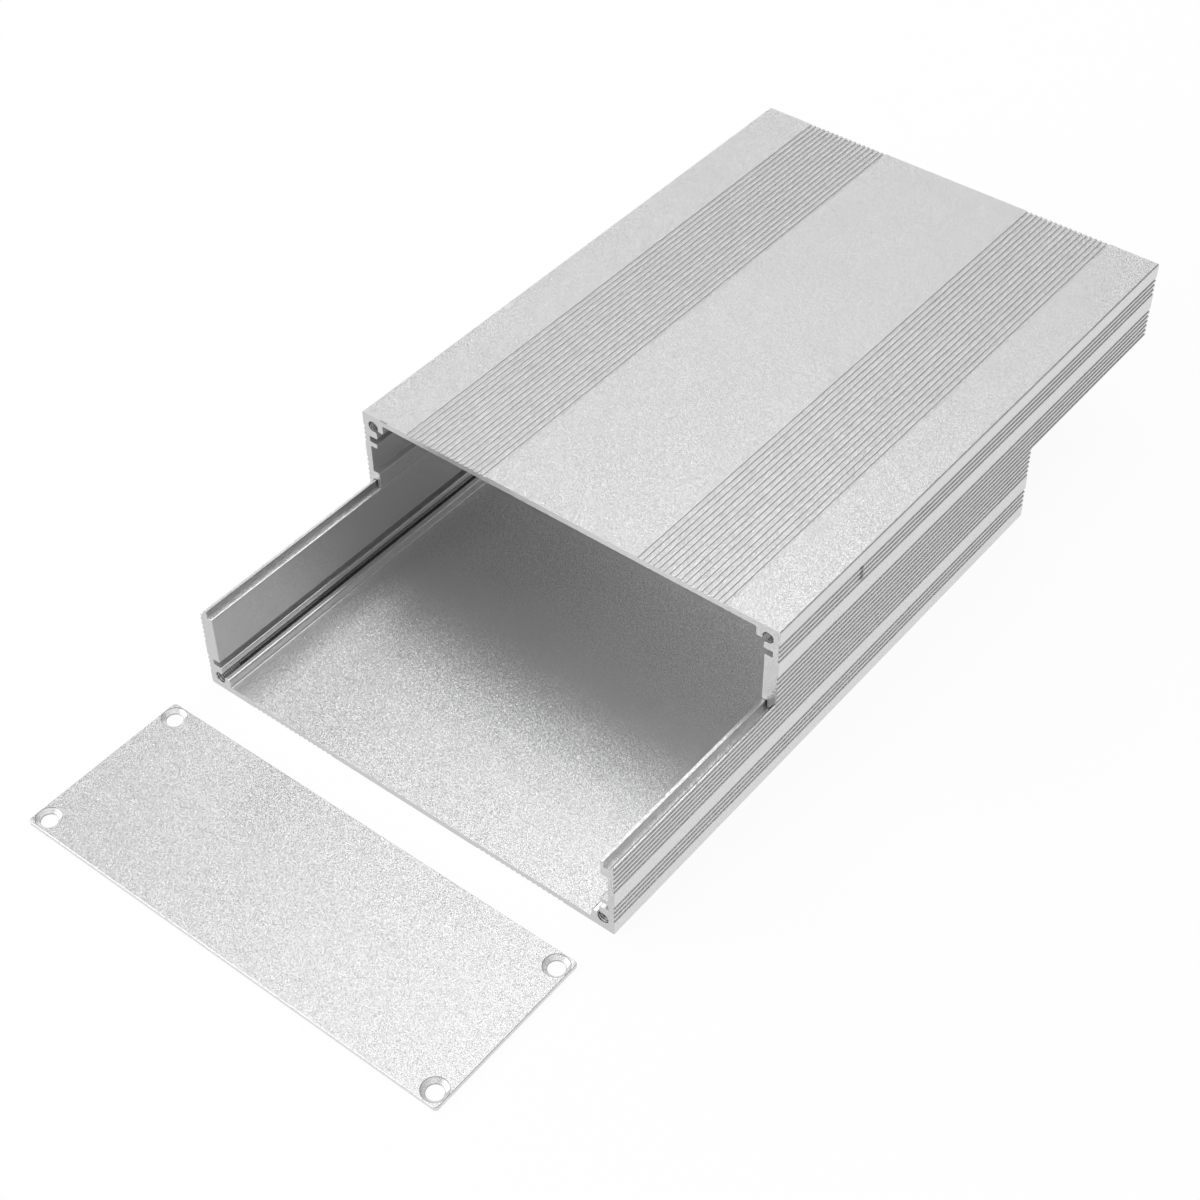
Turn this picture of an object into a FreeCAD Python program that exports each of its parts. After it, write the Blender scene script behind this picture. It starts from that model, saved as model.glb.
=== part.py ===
# Extruded aluminium enclosure, split along its length into two equal half shells.
#
# Both halves are cut from one extrusion. Its section has a screw boss in each corner, a slot
# for a circuit board beside each boss, a tongue along one side wall and a recess along the
# other. Turned half a turn about its long axis, one half meets the other tongue to recess.
# The halves stand slid apart, and one end plate lies loose in front of the lower half.
#
# Millimetres, +Z up, length along Y. The origin is the middle of the lower half's underside.

import FreeCAD, Part
import math
import os

# Overall size of the closed enclosure
width = 145.0
height = 54.0
length = 200.0
outer_round = 0.6

# Where the pieces stand
slide_out = 69.0  # the upper half's front end behind the lower half's
closing_gap = 0.1  # between the two halves where they bear on each other
plate_gap = 13.3  # from the end plate to the lower half's front end
plate_shift = -1.2  # the end plate's middle along X

# Walls
roof_wall = 2.0
thin_wall = 2.1  # side wall with the recess
thick_wall = 4.6  # side wall with the tongue
inner_round = 0.4

# Screw bosses, one in each corner of a half: two jaws round a bore that is open at a slit
screw_from_side = 3.8
screw_from_roof = 4.0
screw_bore_d = 3.6
boss_slit = 1.5
boss_reach = 7.55  # from the side face to the far face of the jaw that hangs from the roof
boss_drop = 5.0  # from the roof face to that jaw's tip
shelf_reach = 5.0  # from the side face to the tip of the jaw beside the board slot
jaw_round = 0.7

# Board slot
slot_from_roof = 8.2
slot_opening = 2.1
slot_wall = 2.0  # left between the slot and the side face
rail_height = 1.6  # the rib that holds the board on the thin wall

# Joint between the halves. Heights are taken from the parting face.
tongue_height = 2.4
tongue_tip = 0.65
tongue_inside = 2.85  # from the side face to the tongue's upright face
tongue_step = 0.55  # flat left outside the tongue's slope
shoulder_round = 0.4  # of the thick wall's inner edge beside the tongue
joint_gap = 0.15  # between the tongue's slope and the recess
tip_gap = 0.2  # beyond the tongue's tip, more than closing_gap
lip_height = 5.4
lip_reach = 4.4
lip_wall = 1.1
lip_short = 0.05  # the lip ends before the parting face
lip_round = 0.3

# Cooling grooves
groove_width = 1.1
groove_floor = 0.9
groove_depth = 0.35
groove_pitch = 1.76
roof_grooves = 17  # in each of two banks
roof_bank = 41.0  # from the middle of the roof to the middle of a bank
high_grooves = 4  # on each side face, near the roof
high_start = 5.4  # from the roof face to the first of them
low_grooves = 6  # on each side face, counted from the parting face

# End plate
plate_thick = 1.5
plate_round = 1.0
plate_edge = 0.15
plate_hole_d = 4.8
sink_d = 7.4
sink_angle = 90.0

# The section is drawn as the upper half, with its parting face on Z = 0.
half = (height - closing_gap) / 2
TONGUE_SIDE = 1
RECESS_SIDE = -1
along = FreeCAD.Vector(0, 1, 0)
up = FreeCAD.Vector(0, 0, 1)


def spot(side, inward, down):
    """A point of the section, measured inward from a side face and down from the roof face."""
    return FreeCAD.Vector(side * (width / 2 - inward), 0, half - down)


def outline(corners):
    """A flat face inside a closed line of (point, radius) corners; radius 0 keeps one sharp."""
    enters, leaves, arcs = [], [], []
    count = len(corners)
    for i, (here, radius) in enumerate(corners):
        back = (corners[i - 1][0] - here).normalize()
        on = (corners[(i + 1) % count][0] - here).normalize()
        if radius == 0:
            enters.append(here)
            leaves.append(here)
            arcs.append(None)
            continue
        turn = back.getAngle(on) / 2
        inward = (back + on).normalize()
        enters.append(here + back * (radius / math.tan(turn)))
        leaves.append(here + on * (radius / math.tan(turn)))
        middle = here + inward * (radius / math.sin(turn) - radius)
        arcs.append(Part.Arc(enters[-1], middle, leaves[-1]).toShape())
    edges = []
    for i in range(count):
        if arcs[i]:
            edges.append(arcs[i])
        edges.append(Part.LineSegment(leaves[i], enters[(i + 1) % count]).toShape())
    return Part.Face(Part.Wire(edges))


def disc(middle, radius):
    """A round face in the plane of the section."""
    return Part.Face(Part.Wire(Part.makeCircle(radius, middle, along)))


def outside():
    """The section without its hollow: roof, side faces and the tongue."""
    side = TONGUE_SIDE
    return outline([
        (spot(RECESS_SIDE, 0, 0), outer_round),
        (spot(side, 0, 0), outer_round),
        (spot(side, 0, half), 0),
        (spot(side, tongue_step, half), 0),
        (spot(side, tongue_inside - tongue_tip, half + tongue_height), tongue_tip / 4),
        (spot(side, tongue_inside, half + tongue_height), tongue_tip / 4),
        (spot(side, tongue_inside, half), 0),
        (spot(RECESS_SIDE, 0, half), 0),
    ])


def boss_corners(side):
    """The hollow's corners round one screw boss, from the board slot to the roof."""
    slope = screw_from_roof - screw_from_side
    half_slit = boss_slit / math.sqrt(2)
    bite = boss_slit / 2 / math.sqrt(2)
    return [
        (spot(side, slot_wall, slot_from_roof), 0),
        (spot(side, shelf_reach, slot_from_roof), inner_round),
        (spot(side, shelf_reach, shelf_reach + slope + half_slit), inner_round),
        (spot(side, screw_from_side - bite, screw_from_roof + bite), 0),
        (spot(side, screw_from_side + bite, screw_from_roof - bite), 0),
        (spot(side, boss_drop - slope + half_slit, boss_drop), inner_round),
        (spot(side, boss_reach, boss_drop), jaw_round),
        (spot(side, boss_reach, roof_wall), inner_round),
    ]


def hollow():
    """The inside of the section, open at the parting face."""
    slot_far = slot_from_roof + slot_opening
    rail_far = slot_far + rail_height
    open_end = half + 2 * tongue_height
    recess_wall = [
        (spot(RECESS_SIDE, lip_reach, open_end), 0),
        (spot(RECESS_SIDE, lip_reach, half - lip_height), inner_round),
        (spot(RECESS_SIDE, thin_wall, half - lip_height), inner_round),
        (spot(RECESS_SIDE, thin_wall, rail_far), inner_round),
        (spot(RECESS_SIDE, thick_wall, rail_far), inner_round),
        (spot(RECESS_SIDE, thick_wall, slot_far), inner_round / 2),
        (spot(RECESS_SIDE, slot_wall, slot_far), 0),
    ]
    tongue_wall = [
        (spot(TONGUE_SIDE, slot_wall, slot_far), 0),
        (spot(TONGUE_SIDE, thick_wall, slot_far), inner_round / 2),
        (spot(TONGUE_SIDE, thick_wall, half), shoulder_round),
        (spot(TONGUE_SIDE, thick_wall - 2 * shoulder_round, half), 0),
        (spot(TONGUE_SIDE, thick_wall - 2 * shoulder_round, open_end), 0),
    ]
    over = boss_corners(RECESS_SIDE) + boss_corners(TONGUE_SIDE)[::-1]
    return outline(recess_wall + over + tongue_wall)


def recess():
    """The groove that takes the other half's tongue, with the shortened lip beside it."""
    side = RECESS_SIDE
    skin_tip = tongue_step - joint_gap
    bottom = half - tongue_height - tip_gap
    lip_outer = lip_reach - lip_wall
    open_end = half + 2 * tongue_height
    return outline([
        (spot(side, skin_tip, open_end), 0),
        (spot(side, skin_tip, half), 0),
        (spot(side, tongue_inside - tongue_tip - joint_gap, bottom), 0),
        (spot(side, lip_outer, bottom), 0),
        (spot(side, lip_outer, half - lip_short), lip_round),
        (spot(side, lip_reach, half - lip_short), 0),
        (spot(side, lip_reach + lip_wall, half - lip_short), 0),
        (spot(side, lip_reach + lip_wall, open_end), 0),
    ])


def groove(middle, across, inward):
    """One flat-bottomed groove's face, from its middle on the surface. It opens past the surface."""
    wide = groove_width - groove_floor / 2
    corners = [(-wide, -groove_depth), (-groove_floor / 2, groove_depth),
               (groove_floor / 2, groove_depth), (wide, -groove_depth)]
    return outline([(middle + across * a + inward * b, 0) for a, b in corners])


def grooves():
    """Two banks of grooves on the roof and two on each side face."""
    right = FreeCAD.Vector(1, 0, 0)
    faces = []
    for bank in (-roof_bank, roof_bank):
        for i in range(roof_grooves):
            x = bank + (i - (roof_grooves - 1) / 2) * groove_pitch
            faces.append(groove(FreeCAD.Vector(x, 0, half), right, -up))
    downs = [high_start + i * groove_pitch for i in range(high_grooves)]
    downs += [half - (i + 0.5) * groove_pitch for i in range(low_grooves)]
    for side in (TONGUE_SIDE, RECESS_SIDE):
        for down in downs:
            faces.append(groove(spot(side, 0, down), up, -right * side))
    return faces


def bores():
    """The round of each screw boss."""
    sides = (TONGUE_SIDE, RECESS_SIDE)
    return [disc(spot(s, screw_from_side, screw_from_roof), screw_bore_d / 2) for s in sides]


def half_shell():
    """One length of the extrusion, from Y = 0, drawn as the upper half."""
    section = outside().cut([hollow(), recess()] + bores() + grooves()).removeSplitter()
    return section.Faces[0].extrude(along * length)


def end_plate():
    """A flat plate with a countersunk hole for each screw boss, lying with its sinks up."""
    x, y = width / 2, height / 2
    rim = [(-x, -y), (x, -y), (x, y), (-x, y)]
    blank = outline([(FreeCAD.Vector(a, b, 0), plate_round) for a, b in rim])
    plate = blank.extrude(up * plate_thick)
    flat_edges = [e for f in plate.Faces if abs(f.normalAt(0, 0).z) > 0.5 for e in f.Edges]
    plate = plate.makeChamfer(plate_edge, flat_edges)
    sink_depth = (sink_d - plate_hole_d) / 2 / math.tan(math.radians(sink_angle / 2))
    tools = []
    for a in (-1, 1):
        for b in (-1, 1):
            at = FreeCAD.Vector(a * (x - screw_from_side), b * (y - screw_from_roof), 0)
            tools.append(Part.makeCylinder(plate_hole_d / 2, plate_thick, at))
            low = at + up * (plate_thick - sink_depth)
            tools.append(Part.makeCone(plate_hole_d / 2, sink_d / 2, sink_depth, low))
    return plate.cut(tools)


lower_front = -length / 2

top_shell = half_shell()
top_shell.translate(FreeCAD.Vector(0, lower_front + slide_out, height - half))

bottom_shell = half_shell()
bottom_shell.rotate(FreeCAD.Vector(0, 0, 0), along, 180)
bottom_shell.translate(FreeCAD.Vector(0, lower_front, half))

plate = end_plate()
plate.translate(FreeCAD.Vector(plate_shift, lower_front - plate_gap - height / 2, 0))

nodes = {"bottom_shell": bottom_shell, "top_shell": top_shell, "end_plate": plate}

os.makedirs("parts", exist_ok=True)
for name, shape in nodes.items():
    shape.exportStep("parts/" + name + ".step")
    print(name, "valid", shape.isValid(), "solids", len(shape.Solids), "volume", round(shape.Volume, 1))
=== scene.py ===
# %% [markdown]
# A split aluminium enclosure for circuit boards. Two half shells are cut from one extrusion, hook
# together along their sides, and stand slid apart, with one end plate lying loose in front.
# The solids already have every real edge, so this script adds no shape of its own. It dresses
# them in the finish of the real metal, with some light and shade painted into it, lights them, and
# looks from where the photographer stood.

# %% The solids, in metres
import math

import bpy
from mathutils import Matrix, Vector

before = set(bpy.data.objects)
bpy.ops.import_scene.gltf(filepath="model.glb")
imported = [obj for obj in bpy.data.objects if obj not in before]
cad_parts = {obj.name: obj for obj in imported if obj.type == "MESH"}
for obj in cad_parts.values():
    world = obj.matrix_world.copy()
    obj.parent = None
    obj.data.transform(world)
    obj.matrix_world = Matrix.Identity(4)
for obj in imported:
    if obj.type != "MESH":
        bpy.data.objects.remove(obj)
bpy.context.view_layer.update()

# %% [markdown]
# A product photo is judged by its viewpoint first. The way a camera looks can be given as a turn
# round the object and a height above it, which is how a photographer would say it, and that reads
# better than a matrix of nine numbers. The small roll is the tilt of a hand-set tripod. The far
# clip lies well beyond the floor's edge, so that a low view doesn't cut the floor off.

# %% Camera
VIEW_TURN = math.radians(39.049)
VIEW_HEIGHT = math.radians(44.459)
VIEW_ROLL = math.radians(-0.899)
CAMERA_PLACE = Vector((0.28695, -0.36823, 0.45645))
LENS = 66.60
SENSOR = 36
NEAREST = 0.01
FARTHEST = 100


def aim(turn, height, roll):
    """The rotation of a camera that looks back along this turn and height."""
    level = math.cos(height)
    back = Vector((math.sin(turn) * level, -math.cos(turn) * level, math.sin(height)))
    right = Vector((math.cos(turn), math.sin(turn), 0))
    up = back.cross(right)
    rolled_right = right * math.cos(roll) + up * math.sin(roll)
    rolled_up = up * math.cos(roll) - right * math.sin(roll)
    return Matrix((rolled_right, rolled_up, back)).transposed()


camera = bpy.data.objects.new("camera", bpy.data.cameras.new("camera"))
camera.data.lens = LENS
camera.data.sensor_width = SENSOR
camera.data.clip_start = NEAREST
camera.data.clip_end = FARTHEST
turned = aim(VIEW_TURN, VIEW_HEIGHT, VIEW_ROLL).to_4x4()
camera.matrix_world = Matrix.Translation(CAMERA_PLACE) @ turned
bpy.context.scene.collection.objects.link(camera)
bpy.context.scene.camera = camera
print("camera looks along", tuple(round(c, 4) for c in -(camera.matrix_world.col[2].xyz)))

# %% [markdown]
# A finish is a small sum: a base tone, a little darker here, rougher there. Written with nodes by
# hand that takes pages, so one class wraps a node's output and lets Python's own plus, minus and
# times build the Math nodes. One method makes any other node. Vectors and colours can't go
# through a Math node, which would turn them grey, so they go through Vector Math. A mask is a sum
# that is 1 where something holds and 0 elsewhere, and two methods make one from a place.

# %% Shader sums
class Sum:
    """The output of a node in one material, with arithmetic."""

    def __init__(self, tree, socket):
        self.tree = tree
        self.socket = socket

    def node(self, kind, settings=None, **inputs):
        """Adds any node: its type, its settings, then its sockets by name, or by place as _0."""
        made = self.tree.nodes.new(kind)
        for name, value in (settings or {}).items():
            setattr(made, name, value)
        for name, value in inputs.items():
            key = int(name[1:]) if name[0] == "_" else name.replace("_", " ")
            self.plug(made.inputs[key], value)
        return made

    def plug(self, socket, value):
        """A Sum is linked to the socket, and anything else is its value."""
        if isinstance(value, Sum):
            self.tree.links.new(value.socket, socket)
        else:
            socket.default_value = value

    def out(self, kind, settings=None, **inputs):
        """The first output of a new node, wrapped."""
        return Sum(self.tree, self.node(kind, settings, **inputs).outputs[0])

    def is_vector(self):
        """True for a vector or a colour, which a Math node would turn into one number."""
        return self.socket.type in ("RGBA", "VECTOR")

    def spread(self):
        """A number as a vector of three equal parts; a vector stays as it is."""
        if self.is_vector():
            return self
        return self.out("ShaderNodeCombineXYZ", X=self, Y=self, Z=self)

    def split(self):
        """The X, Y and Z of a vector as three Sums."""
        parts = self.node("ShaderNodeSeparateXYZ", Vector=self)
        return [Sum(self.tree, socket) for socket in parts.outputs]

    def math(self, operation, *terms):
        """One Math node, or Vector Math where a term is a vector."""
        kind = "ShaderNodeMath"
        if any(isinstance(t, Sum) and t.is_vector() for t in terms):
            kind = "ShaderNodeVectorMath"
            terms = [t.spread() if isinstance(t, Sum) else t for t in terms]
            terms = [t if isinstance(t, (Sum, tuple)) else (t, t, t) for t in terms]
        inputs = {f"_{i}": t for i, t in enumerate(terms)}
        return self.out(kind, {"operation": operation}, **inputs)

    def __add__(self, other):
        return self.math("ADD", self, other)

    def __radd__(self, other):
        return self.math("ADD", other, self)

    def __sub__(self, other):
        return self.math("SUBTRACT", self, other)

    def __rsub__(self, other):
        return self.math("SUBTRACT", other, self)

    def __mul__(self, other):
        return self.math("MULTIPLY", self, other)

    def __rmul__(self, other):
        return self.math("MULTIPLY", other, self)

    def __truediv__(self, other):
        return self.math("DIVIDE", self, other)

    def __rtruediv__(self, other):
        return self.math("DIVIDE", other, self)

    def __abs__(self):
        return self.math("ABSOLUTE", self)

    def mix(self, low, high):
        """Between two numbers where this sum goes from 0 to 1."""
        return low + self * (high - low)

    def step(self, start, end):
        """A soft step: 0 before start, 1 after end."""
        return self.out("ShaderNodeMapRange", {"interpolation_type": "SMOOTHSTEP"},
                        Value=self, From_Min=start, From_Max=end)

    def near(self, middle, reach, soft):
        """1 within reach of a place along this sum, fading over soft."""
        return 1 - abs(self - middle).step(reach, reach + soft)

    def zigzag(self, pitch):
        """Up and down between 0 and 0.5, once for each pitch."""
        return self.math("PINGPONG", self / pitch, 0.5)

    def clamp(self):
        """Kept between 0 and 1."""
        return self.out("ShaderNodeClamp", Value=self)


print("shader sums ready")

# %% [markdown]
# Every finish starts from the Principled shader, which covers metal, paint and plastic with one
# set of sockets. A constant is set on its socket, and only what changes over the surface is a sum.

# %% A material to start from
def material_named(name):
    """A new material with its shader, and a Sum to start from."""
    material = bpy.data.materials.new(name)
    material.use_nodes = True
    shader = material.node_tree.nodes["Principled BSDF"]
    return material, shader, Sum(material.node_tree, None)


print("materials start from a Principled shader")

# %% [markdown]
# The metal is blasted with fine beads and then anodised clear. Every bead leaves a dimple that
# leans its own way, and the anodising keeps it satin. Where the metal mirrors the edge of a
# shadow, one dimple catches the light side and its neighbour the dark side, and the surface
# sparkles. Speckles painted into the colour would show just as much in the middle of a plain
# reflection, and the real ones don't, so the grain here is a lean of the mirror: each cell of a
# Voronoi pattern adds its own random vector to the direction that the surface faces. The spot
# that the patterns take is the place on the metal in millimetres.

# %% Bead blasting
BEAD_SIZE = 0.16  # mm across
BEAD_LEAN = 0.34  # twice the lean of a dimple, as a share of the direction
BEAD_TURN = (0.5, 0.8, 0.3)  # turns the cells, so that no wall cuts them in rows


def beads(spot):
    """A random lean for each bead's dimple, -0.5 to 0.5 along each axis."""
    turned_spot = spot.out("ShaderNodeMapping", Vector=spot, Rotation=BEAD_TURN)
    cells = spot.node("ShaderNodeTexVoronoi", {"voronoi_dimensions": "3D"},
                      Vector=turned_spot, Scale=1.0 / BEAD_SIZE)
    return Sum(spot.tree, cells.outputs["Color"]) - (0.5, 0.5, 0.5)


def clouds(spot, size):
    """Soft random shades from 0 to 1, size millimetres across."""
    return spot.out("ShaderNodeTexNoise", {"noise_dimensions": "3D"},
                    Vector=spot, Scale=1.0 / size, Detail=1.0, Roughness=0.6)


print("beads", BEAD_SIZE, "mm across lean up to", round(math.degrees(BEAD_LEAN / 2), 1), "degrees")

# %% [markdown]
# Where on the metal are we? The finish needs the place in millimetres, in the object's own axes, so
# that it stays put when the upper half slides. It also needs to know which way the bare surface
# faces, because the sawn ends and the blasted walls have different finishes on one solid.
# The clear layer of anodising scatters a small share of the light, so the metal isn't quite a
# mirror, and it clouds a little over a hand's width. The long edges are rounded finer than a
# pixel. A Bevel node rounds the light on them and leaves the solid alone.

# %% Satin aluminium
MM = 1000.0  # in a metre
METAL_SHARE = 0.88
SATIN = 0.73
SATIN_ROUGHNESS = 0.34
CLOUD_SIZE = 40.0  # mm across
CLOUD_TONE = 0.03
CLOUD_ROUGHNESS = 0.04
EDGE_RADIUS = 0.00014  # metres


class Satin:
    """Blasted and anodised metal, with the Sums that a piece's own zones start from."""

    def __init__(self, name):
        self.material, self.shader, self.start = material_named(name)
        self.shader.inputs["Metallic"].default_value = METAL_SHARE
        coordinates = self.start.node("ShaderNodeTexCoord")
        geometry = self.start.node("ShaderNodeNewGeometry")
        self.spot = Sum(self.start.tree, coordinates.outputs["Object"]) * MM
        self.place = self.spot.split()
        self.facing = Sum(self.start.tree, geometry.outputs["Normal"]).split()
        self.edge = self.start.out("ShaderNodeBevel", {"samples": 4}, Radius=EDGE_RADIUS)
        cloud = clouds(self.spot, CLOUD_SIZE) - 0.5
        self.tone = SATIN * (1 + cloud * CLOUD_TONE)
        self.roughness = SATIN_ROUGHNESS + cloud * CLOUD_ROUGHNESS

    def grain(self, share):
        """The direction that the surface faces, with this share of the beads' lean."""
        leaned = self.edge + beads(self.spot) * (BEAD_LEAN * share)
        return self.start.math("NORMALIZE", leaned)

    def carved(self, height, depth, normal):
        """The direction with fine cuts in it: a height that changes, and the depth of one."""
        return self.start.out("ShaderNodeBump", Strength=1.0, Distance=depth,
                              Height=height, Normal=normal)

    def wear(self, tone, roughness, normal):
        """Plugs the finished sums into the shader."""
        tone = tone.clamp()
        grey = self.start.out("ShaderNodeCombineColor", Red=tone, Green=tone, Blue=tone)
        self.start.plug(self.shader.inputs["Base Color"], grey)
        self.start.plug(self.shader.inputs["Roughness"], roughness.clamp())
        self.start.plug(self.shader.inputs["Normal"], normal)
        return self.material


print("satin aluminium is", METAL_SHARE, "metal, tone", SATIN, "roughness", SATIN_ROUGHNESS)

# %% [markdown]
# Small accidents of handling make metal look real. This enclosure has two: a thin dark rub down
# the right side, across three grooves, and a small dent in the roof's front edge, above the left
# screw boss. Each could be painted on a picture. A place and a soft reach do it in a line, with
# some noise added to the place so that the rub's edge isn't straight.

# %% Handling marks
MARK_SHADE = 0.5
SMUDGE_Y = 7.15
SMUDGE_Z = 46.4
RAGGED = 1.2  # mm, both the size and the reach of the rub's uneven edge
NICK_X = -64.3
NICK_Y = -31.0
NICK_Z = 53.8


def smudge(spot):
    """A thin dark rub down the right side."""
    x, y, z = spot.split()
    ragged = (clouds(spot, RAGGED) - 0.5) * RAGGED
    across = (y + ragged).near(SMUDGE_Y, 0.6, 0.5)
    return across * z.near(SMUDGE_Z, 2.0, 0.8) * x.step(71.0, 71.5)


def nick(spot):
    """A small dent in the roof's front edge."""
    x, y, z = spot.split()
    at_edge = 1 - y.step(NICK_Y, NICK_Y + 0.6)
    return x.near(NICK_X, 1.0, 0.5) * z.near(NICK_Z, 0.15, 0.15) * at_edge


print("smudge at y", SMUDGE_Y, "z", SMUDGE_Z, "mm, and nick at x", NICK_X, "mm")

# %% [markdown]
# The two halves are one extrusion, so one finish serves both, folded about the parting plane: a
# height above it and the same depth below it are the same place of the section. What the
# blasting didn't reach, and what was cut or rubbed after it, differs from the satin walls, and
# some zones carry painted light and shade as well. The saw leaves the ends a shade duller, and
# they are darkened further as painted shade for the floor's contact shadow that they mirror. The
# flanks of the side grooves are darkened as painted shade, so that the grooves read as dark lines.
# The faces where the halves bear on each other are rubbed smooth, and their lighter tone is partly
# the bare rubbed metal and partly a painted highlight; the shoulder beside the tongue is painted
# brightest, as a painted highlight. The tongue's own upright face, down in the recess, is darkened
# as painted shade. The walls round the screw bosses are as smooth as the die left them. Splitting
# the mesh into materials would do for whole faces, but these zones end within a face.

# %% Zones of the section
PARTING = 27.0
HALF_WIDTH = 72.5
HALF_LENGTH = 100.0
JOINT_START = 65.0  # the joint lies further out than this
BEARING_REACH = 0.16  # the rubbed faces lie this near to the parting plane
TONGUE_FACE = 69.65
TONGUE_HEIGHT = 2.4
BOSS_WALL_START = 64.6
BOSS_WALL_LOWEST = 17.0
INSIDE_ASIDE = 71.8  # the outer faces lie further out than these two
INSIDE_ABOVE = 26.3
# These tones include painted light: painted shade on the sawn ends, the groove flanks and the
# tongue's face, and a painted highlight on the rubbed faces and the shoulder.
SAWN_AND_SHADED_TONE = 0.8
FLANK_SHADE = 0.8
BARE_AND_HIGHLIGHT_TONE = 0.84
SHOULDER_HIGHLIGHT = 1.0
BARE_ROUGHNESS = 0.3
TONGUE_SHADE = 0.55
DRAWN = 0.82
DRAWN_ROUGHNESS = 0.24
DRAWN_GRAIN = 0.2  # the share of the beads' lean that is left there


def faces_along(part):
    """1 where a surface faces along an axis, either way, from this part of its direction."""
    return abs(part).step(0.8, 0.95)


def sawn_face(facing):
    """1 on the two cut ends."""
    return abs(facing[1]).step(0.85, 0.95)


def groove_flank(aside, facing):
    """1 on the slopes of the side grooves."""
    sloped = abs(facing[2]).step(0.3, 0.6) * (1 - faces_along(facing[0]))
    return aside.step(HALF_WIDTH - 0.4, HALF_WIDTH - 0.3) * sloped


def rubbed_and_highlit_face(aside, above, facing):
    """1 where the halves bear on each other."""
    level = faces_along(facing[2])
    at_joint = aside.step(JOINT_START, JOINT_START + 0.5)
    return above.near(0.0, BEARING_REACH, 0.05) * level * at_joint


def shaded_tongue_face(aside, above, facing):
    """1 on the upright face of the tongue, which gets painted shade."""
    middle = TONGUE_HEIGHT / 2
    on_tongue = aside.near(TONGUE_FACE, 0.06, 0.05) * above.near(middle, middle, 0.1)
    return on_tongue * faces_along(facing[0])


def drawn_wall(aside, above, sawn):
    """1 on the walls round the screw bosses."""
    past_aside = aside.step(INSIDE_ASIDE, INSIDE_ASIDE + 0.2)
    past_above = above.step(INSIDE_ABOVE, INSIDE_ABOVE + 0.2)
    inside = (1 - past_aside) * (1 - past_above) * (1 - sawn)
    far_enough = aside.step(BOSS_WALL_START, BOSS_WALL_START + 0.2)
    return inside * far_enough * above.step(BOSS_WALL_LOWEST, BOSS_WALL_LOWEST + 0.5)


print("zones fold about the parting plane at z", PARTING, "mm")

# %% [markdown]
# The screw bosses are tapped for the first few millimetres, and a cut thread is bare metal.
# A real helix could be cut into the solid, at the price of thousands of small faces in a bore
# that shows as a dozen pixels. A ramp that winds once round the bore for each pitch gives
# streaks of light and dark through a Bump node, and the same ramp is painted into the tone,
# dark roots as painted shade and light crests as a painted highlight. The rest of the bore wall
# is darkened as painted shade.

# %% Screw threads
BOSS_ACROSS = 68.7
BOSS_ABOVE = 23.0
BORE_REACH = 1.95
TAPPED = 8.0
THREAD_PITCH = 0.7
THREAD_DEPTH = 0.00025  # metres
# painted shade on the bore wall, and painted shade and highlight from the thread's root to its crest
BORE_SHADE = 0.45
THREAD_ROOT_SHADE = 0.27
THREAD_CREST_HIGHLIGHT = 0.96


def bore_wall(out_x, out_z, sawn):
    """1 inside the round of a screw boss."""
    off_axis = out_x.math("SQRT", out_x * out_x + out_z * out_z)
    return (1 - off_axis.step(BORE_REACH - 0.1, BORE_REACH)) * (1 - sawn)


def thread(out_x, out_z, y):
    """The height of a thread that winds round the boss, 0 to 0.5."""
    turns = out_x.math("ARCTAN2", out_z, out_x) / (2 * math.pi)
    return out_x.math("PINGPONG", y / THREAD_PITCH + turns, 0.5)


print("thread pitch", THREAD_PITCH, "mm for the first", TAPPED, "mm")

# %% [markdown]
# One function puts the zones together. Each is a mask from 0 to 1 that mixes its own tone and
# roughness over what was there before, mostly in the order in which the metal met its tools; some
# of the masks carry painted shade and painted highlights instead. The upper half has its tongue on
# the right and the lower half on the left.

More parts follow.
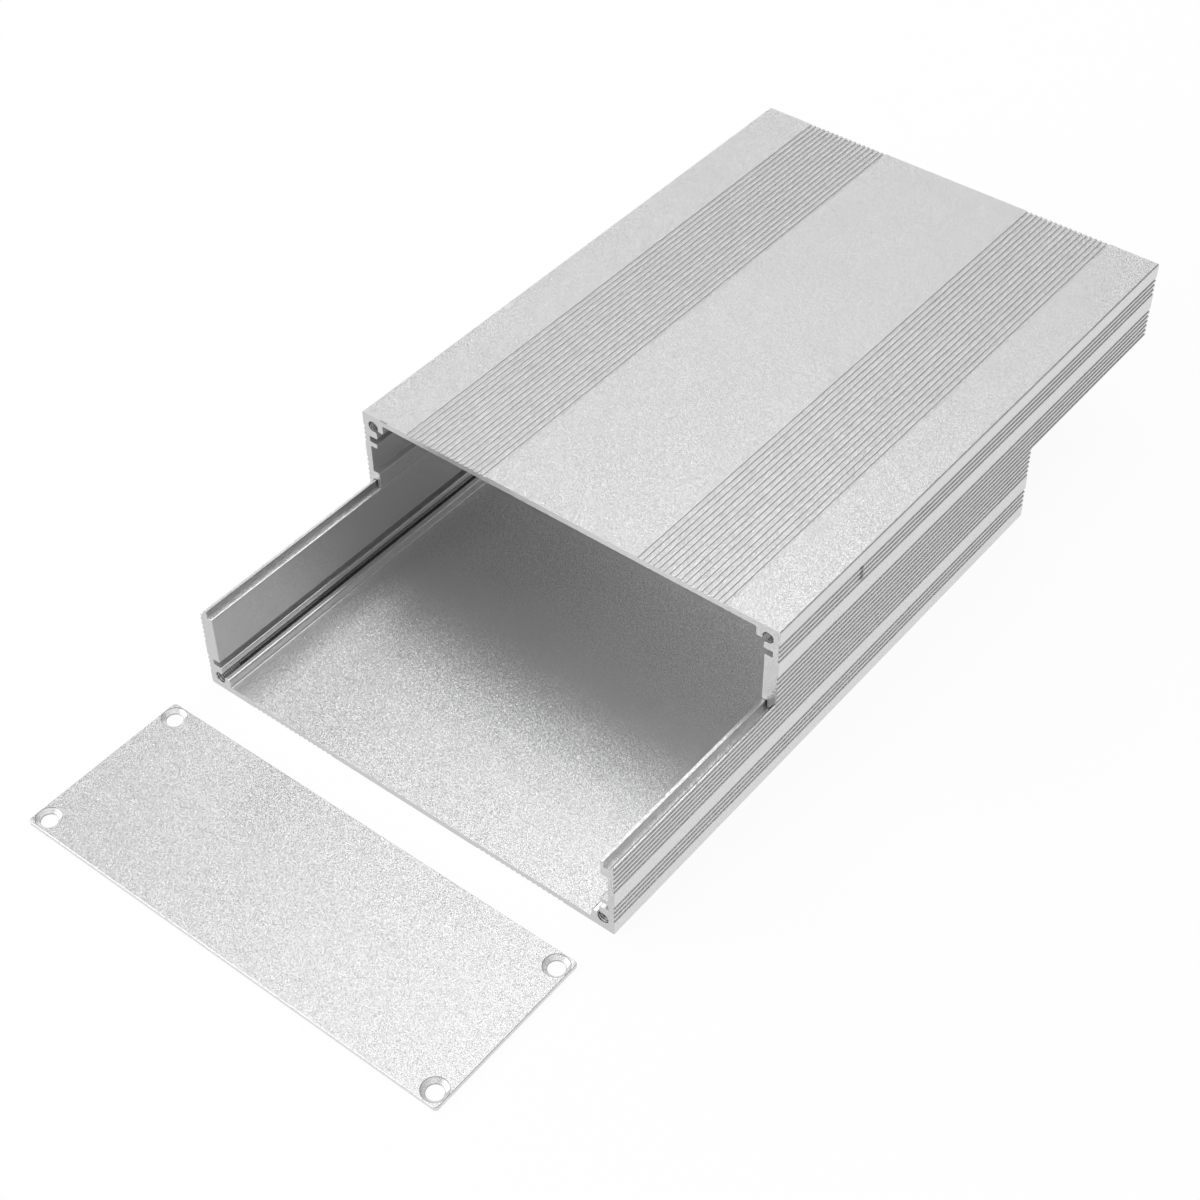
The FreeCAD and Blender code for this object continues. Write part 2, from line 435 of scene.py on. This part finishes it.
# %% Shell finish
def shell_finish(name, middle, tongue_side, marks):
    """Satin metal for a half whose middle lies at this Y, with marks of its own."""
    metal = Satin(name)
    x, y, z = metal.place
    aside = abs(x)
    above = abs(z - PARTING)
    from_end = HALF_LENGTH - abs(y - middle)
    sawn = sawn_face(metal.facing)
    # the cut ends: a shade duller from the saw, and darker still as painted shade for the floor's
    # contact shadow that they mirror
    tone = metal.tone * sawn.mix(1.0, SAWN_AND_SHADED_TONE)
    # painted shade on the flanks of the side grooves, to draw them as dark lines
    tone = tone * groove_flank(aside, metal.facing).mix(1.0, FLANK_SHADE)

    # the bearing faces: smoother rubbed metal, lighter partly as bare metal and partly as a painted
    # highlight, brightest on the shoulder beside the tongue as a painted highlight
    rubbed_and_highlit = rubbed_and_highlit_face(aside, above, metal.facing)
    highlit_shoulder = (x * tongue_side).step(JOINT_START, JOINT_START + 0.5)
    tone = rubbed_and_highlit.mix(tone, highlit_shoulder.mix(BARE_AND_HIGHLIGHT_TONE, SHOULDER_HIGHLIGHT))
    roughness = rubbed_and_highlit.mix(metal.roughness, BARE_ROUGHNESS)
    # painted shade on the tongue's upright face, down in the recess
    tone = tone * shaded_tongue_face(aside, above, metal.facing).mix(1.0, TONGUE_SHADE)

    drawn = drawn_wall(aside, above, sawn)
    tone = drawn.mix(tone, DRAWN)
    roughness = drawn.mix(roughness, DRAWN_ROUGHNESS)

    out_x = aside - BOSS_ACROSS
    out_z = above - BOSS_ABOVE
    bored = bore_wall(out_x, out_z, sawn)
    tapped = bored * (1 - from_end.step(TAPPED, TAPPED + 0.4))
    ramp = thread(out_x, out_z, y)
    # the thread painted into the tone: painted shade in the roots, a painted highlight on the crests
    thread_light_and_shade = (ramp * 2).mix(THREAD_ROOT_SHADE, THREAD_CREST_HIGHLIGHT)
    tone = bored.mix(tone, tapped.mix(BORE_SHADE, thread_light_and_shade))
    roughness = tapped.mix(roughness, BARE_ROUGHNESS)

    for mark in marks:
        tone = tone * (1 - mark(metal.spot) * MARK_SHADE)
    grained = metal.grain(drawn.mix(1.0, DRAWN_GRAIN))
    return metal.wear(tone, roughness, metal.carved(ramp * tapped, THREAD_DEPTH, grained))


SLID_OUT = 69.0
lower_finish = shell_finish("blasted_lower_half", 0.0, -1, [])
upper_finish = shell_finish("blasted_upper_half", SLID_OUT, 1, [smudge, nick])
print("finishes:", lower_finish.name, upper_finish.name)

# %% [markdown]
# The end plate is cut from sheet, and its four holes are countersunk after the blasting, so the
# cones and bores are bare turned metal. The cutter leaves fine rings, and each ring mirrors two
# directions at once, so the cone looks evenly grey instead of half white and half black. Its
# upper and lower rims catch no light and show as thin dark circles. Rings cut in the mesh would
# be thousands of faces for four holes, so a zigzag of the distance from the hole goes through a
# Bump node.

# %% Plate finish
PLATE_MIDDLE = (-1.2, -140.3)
HOLE_ASIDE = (68.7, 23.0)
HOLE_REACH = 2.4
SINK_REACH = 3.75
RING_PITCH = 0.25
RING_DEPTH = 0.0001  # metres
RIM_SHADE = 0.45


def rim(off_axis, reach):
    """1 on a thin circle round a hole."""
    return off_axis.near(reach, 0.08, 0.06)


def countersunk_finish(name):
    """Satin metal with four bright countersinks."""
    metal = Satin(name)
    x, y, z = metal.place
    out_x = abs(x - PLATE_MIDDLE[0]) - HOLE_ASIDE[0]
    out_y = abs(y - PLATE_MIDDLE[1]) - HOLE_ASIDE[1]
    off_axis = metal.start.math("SQRT", out_x * out_x + out_y * out_y)
    sloped = 1 - metal.facing[2].step(0.8, 0.9)
    cut = (1 - off_axis.step(SINK_REACH, SINK_REACH + 0.1)) * sloped
    rims = rim(off_axis, SINK_REACH - 0.1) + rim(off_axis, HOLE_REACH)
    tone = cut.mix(metal.tone, BARE_AND_HIGHLIGHT_TONE) * (1 - rims * RIM_SHADE)
    roughness = cut.mix(metal.roughness, BARE_ROUGHNESS)
    rings = off_axis.zigzag(RING_PITCH) * cut
    return metal.wear(tone, roughness, metal.carved(rings, RING_DEPTH, metal.grain(1 - cut)))


plate_finish = countersunk_finish("blasted_plate")
print("finish:", plate_finish.name)

# %% [markdown]
# Each solid keeps its mesh and only changes its material.

# %% Dressing the solids
DRESS = {
    "bottom_shell": (lower_finish, "shell"),
    "top_shell": (upper_finish, "shell"),
    "end_plate": (plate_finish, "plate"),
}
for node, (finish, slot) in DRESS.items():
    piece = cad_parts[node]
    piece.data.materials.clear()
    piece.data.materials.append(finish)
    print(node, "wears", finish.name)

# %% [markdown]
# The photo has a pure white ground with no more than a breath of shadow. A white floor lit until
# it clips would flood the metal with light from below. Instead the floor is pale grey under the
# lamps, and a share of plain white is mixed in for rays that come from the camera or off the
# metal, so the picture's white costs no light. It is wide, so that a low view still ends in it.

# %% Floor
FLOOR_SIZE = 80.0
FLOOR_SHADE = 0.93
WHITE_SHARE = 0.93

bpy.ops.mesh.primitive_plane_add(size=FLOOR_SIZE, location=(0, 0, 0))
floor = bpy.context.object
floor.name = "floor"
floor_finish, floor_shader, start = material_named("white_floor")
floor_shader.inputs["Roughness"].default_value = 0.9
floor_shader.inputs["Specular IOR Level"].default_value = 0.0
floor_shader.inputs["Base Color"].default_value = (FLOOR_SHADE, FLOOR_SHADE, FLOOR_SHADE, 1)

path = start.node("ShaderNodeLightPath")
from_camera = Sum(start.tree, path.outputs["Is Camera Ray"])
off_metal = Sum(start.tree, path.outputs["Is Glossy Ray"])
through_glass = Sum(start.tree, path.outputs["Is Transmission Ray"])
seen = start.math("MAXIMUM", start.math("MAXIMUM", from_camera, off_metal), through_glass)
glow = start.out("ShaderNodeEmission", Color=(1, 1, 1, 1), Strength=1.0)
mixed = start.out("ShaderNodeMixShader", Fac=seen * WHITE_SHARE,
                  _1=Sum(start.tree, floor_shader.outputs[0]), _2=glow)
start.plug(floor_finish.node_tree.nodes["Material Output"].inputs["Surface"], mixed)
floor.data.materials.append(floor_finish)
print("floor", FLOOR_SIZE, "m wide")

# %% [markdown]
# Satin metal shows the room more than any lamp, so the room is built the way a photographer
# would build it: one big soft box overhead, one at the left in front, three smaller ones behind,
# and a dim room elsewhere. The dim part matters. The grooves show as fine dark lines partly because
# one flank of each mirrors the dim side of the room, which an all-white tent would lose, and partly
# through the painted shade on their flanks.
# Two weak boxes at the right keep the metal pale from the other sides too. The levels are plain:
# together they light a white card to about white, so a colour renders about as it is written, and
# the overhead box is weak enough for the plate to keep its grey when seen from straight above.

# %% Light
ROOM_LEVEL = 0.2

scene = bpy.context.scene
scene.view_settings.view_transform = "Standard"
room = bpy.data.worlds.new("studio")
room.use_nodes = True
scene.world = room
room.node_tree.nodes["Background"].inputs["Color"].default_value = (1, 1, 1, 1)
room.node_tree.nodes["Background"].inputs["Strength"].default_value = ROOM_LEVEL


def soft_box(name, turn, height, away, wide, tall, level):
    """A soft box that faces the object: turn and height in degrees, away, wide and tall in metres."""
    turn = math.radians(turn)
    height = math.radians(height)
    flat = math.cos(height)
    side = Vector((math.cos(turn) * flat, math.sin(turn) * flat, math.sin(height)))
    lamp = bpy.data.objects.new(name, bpy.data.lights.new(name, "AREA"))
    lamp.data.shape = "RECTANGLE"
    lamp.data.size = wide
    lamp.data.size_y = tall
    lamp.data.energy = level * math.pi * wide * tall
    lamp.location = side * away
    lamp.rotation_euler = (-side).to_track_quat("-Z", "Y").to_euler()
    scene.collection.objects.link(lamp)
    print(name, "box at", tuple(round(c, 2) for c in lamp.location), "level", level)


soft_box("overhead", 90, 89.9, 1.6, 2.0, 2.0, 1.12)
soft_box("left_front", -135, 30, 1.7, 2.2, 1.1, 2.6)
soft_box("right_front", -45, 22, 1.8, 2.2, 1.1, 0.4)
soft_box("right_back", 32, 32, 1.8, 1.6, 1.0, 0.2)
soft_box("left_back", 158, 18, 1.8, 1.0, 0.7, 0.9)
soft_box("back", 114, 59, 1.6, 1.2, 0.9, 0.9)
soft_box("back_low", 115, 15, 1.8, 2.0, 0.6, 1.4)
